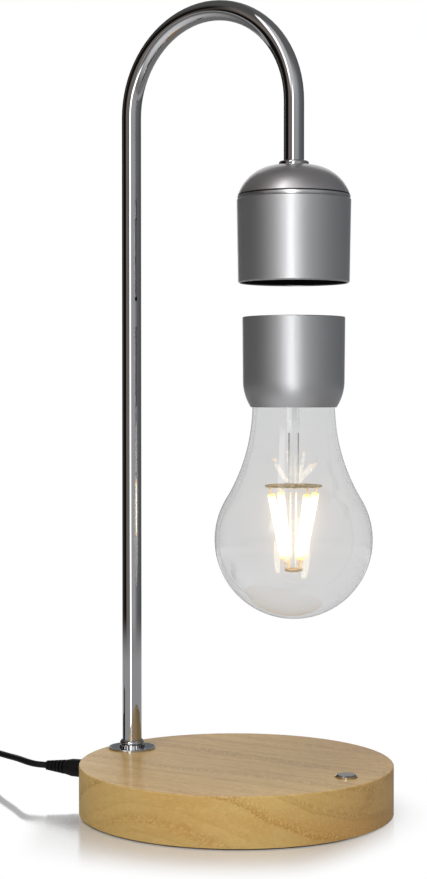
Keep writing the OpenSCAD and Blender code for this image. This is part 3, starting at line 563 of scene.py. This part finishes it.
def set_on(name, mesh, material, body):
    """Makes a smooth piece of a mesh and sets it on a body."""
    for face in mesh.polygons:
        face.use_smooth = True
    mesh.set_sharp_from_angle(angle=SHARP_EDGE)
    piece = bpy.data.objects.new(name, mesh)
    scene.collection.objects.link(piece)
    dress(piece, material)
    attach(piece, body)
    return piece


def grown(name, build, sizes, material):
    """Plain mesh from a node tree with named sizes."""
    tree = bpy.data.node_groups.new(name, "GeometryNodeTree")
    tree.interface.new_socket("Geometry", in_out="OUTPUT", socket_type="NodeSocketGeometry")
    for size in sizes:
        tree.interface.new_socket(size, in_out="INPUT", socket_type="NodeSocketFloat")
    graph = Graph(tree)
    entry = tree.nodes.new("NodeGroupInput")
    ask = {size: Value(graph, entry.outputs[size]) for size in sizes}
    shape = build(graph, ask)
    shape = graph.node("GeometryNodeRealizeInstances", {}, {"Geometry": shape})
    shape = graph.node("GeometryNodeSetMaterial", {}, {"Geometry": shape, "Material": material})
    graph.node("NodeGroupOutput", {}, {"Geometry": shape})
    holder = bpy.data.objects.new(name + "_holder", bpy.data.meshes.new(name + "_holder"))
    scene.collection.objects.link(holder)
    modifier = holder.modifiers.new("grow", "NODES")
    modifier.node_group = tree
    for item in tree.interface.items_tree:
        if item.in_out == "INPUT":
            modifier[item.identifier] = sizes[item.name]
    bpy.context.view_layer.update()
    made = holder.evaluated_get(bpy.context.evaluated_depsgraph_get())
    mesh = bpy.data.meshes.new_from_object(made)
    bpy.data.objects.remove(holder)
    return mesh


# Arms of the cross recess: length, width, and twice the depth as a share of the head's height
CROSS_ARMS = (("recess", "slot", 1.2), ("slot", "recess", 1.1))
SCREW_TURN = radians(45)


def screws_tree(graph, ask):
    """Countersunk screws on a ring, heads down, each with a cross recess."""
    head_h = (ask["head"] - ask["shank"]) * 0.5
    head = graph.node("GeometryNodeMeshCone", {}, {
        "Vertices": 32, "Radius Top": ask["shank"] * 0.5, "Radius Bottom": ask["head"] * 0.5,
        "Depth": head_h,
    })
    for long, wide, deep in CROSS_ARMS:
        size = graph.node("ShaderNodeCombineXYZ", {},
                          {0: ask[long], 1: ask[wide], 2: head_h * deep})
        arm = graph.node("GeometryNodeMeshCube", {}, {"Size": size})
        head = graph.node("GeometryNodeMeshBoolean", {"operation": "DIFFERENCE"},
                          {"Mesh 1": head, "Mesh 2": arm})
    shank_len = ask["length"] - head_h
    shank = graph.node("GeometryNodeMeshCylinder", {}, {
        "Vertices": 24, "Radius": ask["shank"] * 0.5, "Depth": shank_len,
    })
    rise = graph.node("ShaderNodeCombineXYZ", {}, {2: head_h + shank_len * 0.5})
    shank = graph.node("GeometryNodeTransform", {}, {"Geometry": shank, "Translation": rise})
    screw = graph.node("GeometryNodeJoinGeometry", {}, {"Geometry": [head, shank]})
    points = graph.node("GeometryNodeMeshCircle", {},
                        {"Vertices": ask["count"], "Radius": ask["ring"]})
    place = graph.node("ShaderNodeCombineXYZ", {}, {2: ask["low"]})
    points = graph.node("GeometryNodeTransform", {}, {
        "Geometry": points, "Translation": place, "Rotation": (0, 0, SCREW_TURN),
    })
    return graph.node("GeometryNodeInstanceOnPoints", {}, {"Points": points, "Instance": screw})


def spring_tree(graph, ask):
    """Wire wound round the button's stem."""
    line = graph.node("GeometryNodeCurveSpiral", {}, {
        "Resolution": 40, "Rotations": ask["turns"], "Start Radius": ask["radius"],
        "End Radius": ask["radius"], "Height": ask["height"],
    })
    section = graph.node("GeometryNodeCurvePrimitiveCircle", {},
                         {"Resolution": 10, "Radius": ask["wire"] * 0.5})
    wire = graph.node("GeometryNodeCurveToMesh", {},
                      {"Curve": line, "Profile Curve": section, "Fill Caps": True})
    place = graph.node("ShaderNodeCombineXYZ", {}, {0: ask["across"], 2: ask["low"]})
    return graph.node("GeometryNodeTransform", {}, {"Geometry": wire, "Translation": place})


def lathed(name, outline, across, around):
    """Mesh turned about an upright axis from an outline that starts and ends on it."""
    turned = bmesh.new()
    rings = []
    for radius, height in outline:
        angles = [2 * pi * k / around for k in range(around if radius > 1e-7 else 1)]
        rings.append([turned.verts.new((across + radius * cos(a), radius * sin(a), height))
                      for a in angles])
    for low, high in zip(rings, rings[1:]):
        for k in range(around):
            corners = [low[k % len(low)], low[(k + 1) % len(low)],
                       high[(k + 1) % len(high)], high[k % len(high)]]
            turned.faces.new(list(dict.fromkeys(corners)))
    bmesh.ops.recalc_face_normals(turned, faces=turned.faces)
    mesh = bpy.data.meshes.new(name)
    turned.to_mesh(mesh)
    turned.free()
    return mesh


GLOBE_R, SHOULDER_R, NECK_R, NECK_LEN = 36.8 * MM, 85 * MM, 19.2 * MM, 7.7 * MM
GLASS_WALL = 1.0 * MM
GLASS_STEPS, GLASS_AROUND = 80, 256


def glass_outline(low_z, top_z, inset):
    """Globe, shoulder and neck of the glass, from the bottom up, drawn in by an inset."""
    globe_z, neck_z = low_z + GLOBE_R, top_z - NECK_LEN
    toward = Vector((NECK_R + SHOULDER_R, neck_z - globe_z)).normalized()
    meet = acos(-toward.y)
    globe, shoulder = GLOBE_R - inset, SHOULDER_R + inset
    line = []
    for i in range(GLASS_STEPS + 1):
        angle = meet * i / GLASS_STEPS
        line.append((globe * sin(angle), globe_z - globe * cos(angle)))
    start = atan2(-toward.y, -toward.x) % (2 * pi)
    for i in range(1, GLASS_STEPS + 1):
        angle = start + (pi - start) * i / GLASS_STEPS
        line.append((NECK_R + SHOULDER_R + shoulder * cos(angle), neck_z + shoulder * sin(angle)))
    return line + [(NECK_R - inset, top_z - NECK_LEN / 2), (NECK_R - inset, top_z)]


def bulb_glass():
    low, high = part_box("glass_envelope")
    outside = glass_outline(low[2], high[2], 0.0)
    inside = glass_outline(low[2], high[2], GLASS_WALL)
    mesh = lathed("bulb_glass", outside + inside[::-1], (low[0] + high[0]) / 2, GLASS_AROUND)
    piece = set_on("bulb_glass", mesh, FINISH["bulb_glass"], "bulb")
    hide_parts("glass_envelope")


def cross_screws():
    low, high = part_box("plate_screws")
    head = 4 * MM
    black = polished("screw_black", (0.035, 0.035, 0.037, 1), 0.32, 0.15)
    mesh = grown("cross_screws", screws_tree, {
        "count": 4.0, "ring": (high[0] - head / 2) / cos(SCREW_TURN), "low": low[2], "head": head,
        "shank": 2.2 * MM, "length": high[2] - low[2], "recess": 2.2 * MM, "slot": 0.55 * MM,
    }, black)
    screws = set_on("cross_screws", mesh, black, "stand")
    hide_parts("plate_screws")


def button_spring():
    spring_low, spring_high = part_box("button_spring")
    wire = 0.5 * MM
    mesh = grown("button_spring_wire", spring_tree, {
        "turns": 6.0, "radius": 3.0 * MM, "wire": wire,
        "across": (spring_low[0] + spring_high[0]) / 2, "low": spring_low[2] + wire / 2,
        "height": spring_high[2] - spring_low[2] - wire,
    }, FINISH["hardware"])
    spring = set_on("button_spring_wire", mesh, FINISH["hardware"], "stand")
    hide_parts("button_spring")
    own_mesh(spring)


bulb_glass()
cross_screws()
button_spring()


# Floor, light and surroundings

FLOOR_HALF = 12.0
BASE_R = 0.075
CORD_SPOT, CORD_SPOT_R = (-0.125, -0.03, 0), 0.05


def floor_plane():
    """Glossy white floor, plain white away from the lamp, that doesn't show in the lamp's metal."""
    mesh = bpy.data.meshes.new("floor")
    corners = [(x * FLOOR_HALF, y * FLOOR_HALF, 0) for x, y in ((-1, -1), (1, -1), (1, 1), (-1, 1))]
    mesh.from_pydata(corners, [], [(0, 1, 2, 3)])
    plane = bpy.data.objects.new("floor", mesh)
    scene.collection.objects.link(plane)
    look = Look("floor")
    flat = look.node("ShaderNodeVectorMath", {"operation": "MULTIPLY"},
                     {0: look.place, 1: (1, 1, 0)})
    from_base = look.node("ShaderNodeVectorMath", {"operation": "LENGTH"}, {0: flat}, "Value")
    from_cord = look.node("ShaderNodeVectorMath", {"operation": "DISTANCE"},
                          {0: flat, 1: CORD_SPOT}, "Value")
    clear = look.math("MINIMUM", from_base - BASE_R, from_cord - CORD_SPOT_R)
    x, y = look.axes()[:2]
    across = x * cos(VIEW_TURN) + y * sin(VIEW_TURN)
    front = x * sin(VIEW_TURN) - y * cos(VIEW_TURN)
    # Painted light: the plain white comes nearer the base on its right, taking out the shade there;
    # on its left it stays a little farther off
    beside = look.step(across, 0.020, 0.085) * 0.32 + look.step(across, -0.050, -0.090) * -0.05
    fade = look.ramp(clear * 10.0 + beside, [(0.05, 0.0), (0.54, 1.0)], smooth=True)
    # Under the cord the floor gets painted light from a white glow, and it mirrors more sharply
    # there
    bright = look.step(across, -0.064, -0.078) * look.step(front, 0.026, 0.004)
    bright = look.math("MAXIMUM", bright, look.step(across, -0.086, -0.102))
    path = look.outputs("ShaderNodeLightPath")
    in_glass = look.step(path["Transmission Depth"], 0.0, 1.0)
    mirrored = path["Is Glossy Ray"] * (1.0 - in_glass)
    matt = look.node("ShaderNodeBsdfDiffuse", {}, {"Color": grey(0.57)})
    painted_white_light = look.node("ShaderNodeEmission", {}, {"Color": WHITE, "Strength": 1.15})
    matt = look.node("ShaderNodeMixShader", {}, {0: bright, 1: matt, 2: painted_white_light})
    sheen = look.node("ShaderNodeBsdfGlossy", {},
                      {"Color": grey(0.95), "Roughness": 0.15 - bright * 0.09})
    slant = look.node("ShaderNodeFresnel", {}, {"IOR": 1.5}) * (1.72 + bright * 0.4)
    near = look.node("ShaderNodeMixShader", {}, {0: slant, 1: matt, 2: sheen})
    white = look.node("ShaderNodeEmission", {}, {"Color": WHITE, "Strength": 1.0})
    seen = look.node("ShaderNodeMixShader", {}, {0: fade, 1: near, 2: white})
    none = look.node("ShaderNodeBsdfTransparent")
    both = look.node("ShaderNodeMixShader", {}, {0: mirrored, 1: seen, 2: none})
    look.node("ShaderNodeOutputMaterial", {}, {"Surface": both})
    mesh.materials.append(look.material)


LIGHT_AIM = Vector((0, 0, 0.2))


def soft_box(name, turn, away, height, size, power):
    """Square light that mirrors and glass don't show; turn is from the camera to the right."""
    data = bpy.data.lights.new(name, "AREA")
    data.shape = "RECTANGLE"
    data.size = data.size_y = size
    data.energy = power
    light = bpy.data.objects.new(name, data)
    scene.collection.objects.link(light)
    angle = VIEW_TURN + radians(turn)
    light.location = (away * sin(angle), -away * cos(angle), height)
    light.rotation_euler = (light.location - LIGHT_AIM).to_track_quat("Z", "Y").to_euler()
    light.visible_glossy = False
    light.visible_transmission = False


# Tones round the lamp by turn from the camera, in degrees to the right
ROOM = [
    (-180, (0.02, 0.017, 0.016)), (-128, (0.015, 0.013, 0.012)), (-121, (0.10, 0.088, 0.081)),
    (-110, (0.10, 0.088, 0.081)), (-104, (0.008, 0.007, 0.006)), (-69, (0.008, 0.007, 0.006)),
    (-63, (0.28, 0.238, 0.212)), (-47, (0.27, 0.237, 0.218)), (-37, (0.245, 0.229, 0.216)),
    (-20, (0.27, 0.27, 0.27)), (-2, (0.56, 0.56, 0.56)), (36, (0.56, 0.565, 0.575)),
    (68, (0.22, 0.226, 0.238)), (131, (0.12, 0.124, 0.132)), (156, (0.16, 0.163, 0.168)),
    (180, (0.20, 0.203, 0.208)),
]


def low_and_high(graph, tone, turn, up):
    """Adds what lies below and above the room's walls."""
    low_tone = graph.mix(graph.step(turn, -50, 10),
                         (0.20, 0.197, 0.195, 1), (0.30, 0.30, 0.304, 1))
    tone = graph.mix(graph.step(up, -0.115, -0.15), tone, low_tone)
    tone = graph.mix(graph.band(up, -0.26, -0.22, -0.15, -0.12), tone, (0.50, 0.50, 0.505, 1))
    aside = graph.math("ABSOLUTE", turn + 22.0)
    table = graph.mix(graph.step(aside, 125, 0), (0.28, 0.273, 0.268, 1), (1.08, 1.08, 1.09, 1))
    tone = graph.mix(graph.step(up, -0.35, -0.70), tone, table)
    ceiling = graph.mix(graph.step(turn, -60, 20), (0.14, 0.136, 0.133, 1), (0.19, 0.19, 0.192, 1))
    return graph.mix(graph.step(up, 0.40, 0.80), tone, ceiling)


def lamps_in_room(graph, tone, turn, up, sharp):
    """Adds a bright panel and a tall strip light, dimmer in a clear mirror."""
    above = graph.band(up, 0.18, 0.34, 0.85, 0.99)
    tone = graph.mix(graph.band(turn, -30, -24, 0, 30) * above, tone, (0.90, 0.90, 0.905, 1))
    panel = graph.band(turn, -42, -37, -27, -22) * above
    tone = graph.mix(panel, tone, graph.mix(sharp, grey(4.8), grey(3.2)))
    leant = turn + sharp * 5.0 - graph.step(up, -0.06, -0.17) * 3.0
    strip = graph.band(leant, -16, -13, -3, 0) * graph.band(up, -0.50, -0.22, 0.18, 0.34)
    return graph.mix(strip, tone, graph.mix(sharp, grey(8.3), grey(4.5)))


def back_wall(graph, turn, up):
    """Wall behind the lamp, lit in bands and white at its left end."""
    behind = graph.mix(graph.step(turn, -30, 30), (0.80, 0.80, 0.81, 1), (0.52, 0.525, 0.535, 1))
    wall = graph.mix(graph.step(up, -0.16, -0.08), (0.32, 0.325, 0.335, 1), behind)
    wall = graph.mix(graph.step(up, 0.12, 0.15), wall, (0.17, 0.18, 0.195, 1))
    wall = graph.mix(graph.step(up, 0.214, 0.226), wall, WHITE)
    left_end = graph.band(turn, -176.2, -174.8, -10, 0) * graph.step(up, 0.0, 0.08)
    return graph.mix(left_end, wall, WHITE)


def surroundings():
    """White to the camera, and to everything else a dim room with lights and a back wall."""
    world = bpy.data.worlds.new("studio")
    scene.world = world
    world.use_nodes = True
    world.node_tree.nodes.clear()
    graph = Graph(world.node_tree)
    way = graph.node("ShaderNodeTexCoord", output="Generated")
    right = graph.node("ShaderNodeVectorMath", {"operation": "DOT_PRODUCT"},
                       {0: way, 1: (cos(VIEW_TURN), sin(VIEW_TURN), 0)}, "Value")
    ahead = graph.node("ShaderNodeVectorMath", {"operation": "DOT_PRODUCT"},
                       {0: way, 1: (sin(VIEW_TURN), -cos(VIEW_TURN), 0)}, "Value")
    turn = graph.math("ARCTAN2", right, ahead) * (180 / pi)
    up = graph.outputs("ShaderNodeSeparateXYZ", {0: way})["Z"]
    path = graph.outputs("ShaderNodeLightPath")
    sharp = path["Is Singular Ray"]
    tone = graph.ramp(turn / 360 + 0.5, [(at / 360 + 0.5, tint) for at, tint in ROOM])
    tone = low_and_high(graph, tone, turn, up)
    tone = lamps_in_room(graph, tone, turn, up, sharp)
    away = graph.math("ABSOLUTE", turn)
    wall_share = graph.step(away, 156, 161) * graph.step(up, 0.75, 0.60) * (1.0 - sharp * 0.85)
    tone = graph.mix(wall_share, tone, back_wall(graph, turn, up))
    through_glass = graph.step(path["Transmission Depth"], 0.0, 1.0)
    beyond = graph.mix(graph.step(away, 60, 120), (0.45, 0.46, 0.47, 1), WHITE)
    tone = graph.mix(through_glass, tone, beyond)
    tone = graph.mix(path["Is Camera Ray"], tone, WHITE)
    back = graph.node("ShaderNodeBackground", {}, {"Color": tone, "Strength": 1.0})
    graph.node("ShaderNodeOutputWorld", {}, {"Surface": back})


def lens_glow():
    """Faint warm bloom round whatever is brighter than white."""
    scene.use_nodes = True
    tree = scene.node_tree
    tree.nodes.clear()
    graph = Graph(tree)
    picture = graph.node("CompositorNodeRLayers", output="Image")
    glow = graph.node("CompositorNodeGlare", {"glare_type": "BLOOM", "quality": "HIGH"}, {
        "Image": picture, "Threshold": 1.3, "Strength": 0.36, "Size": 0.20,
        "Tint": (1.0, 0.80, 0.55, 1),
    })
    graph.node("CompositorNodeComposite", {}, {"Image": glow})


floor_plane()
surroundings()
soft_box("front", -20, 1.5, 0.7, 0.9, 3)
soft_box("overhead", 20, 0.5, 1.9, 2.2, 46)
scene.view_settings.view_transform = "Standard"
lens_glow()


bpy.context.view_layer.update()
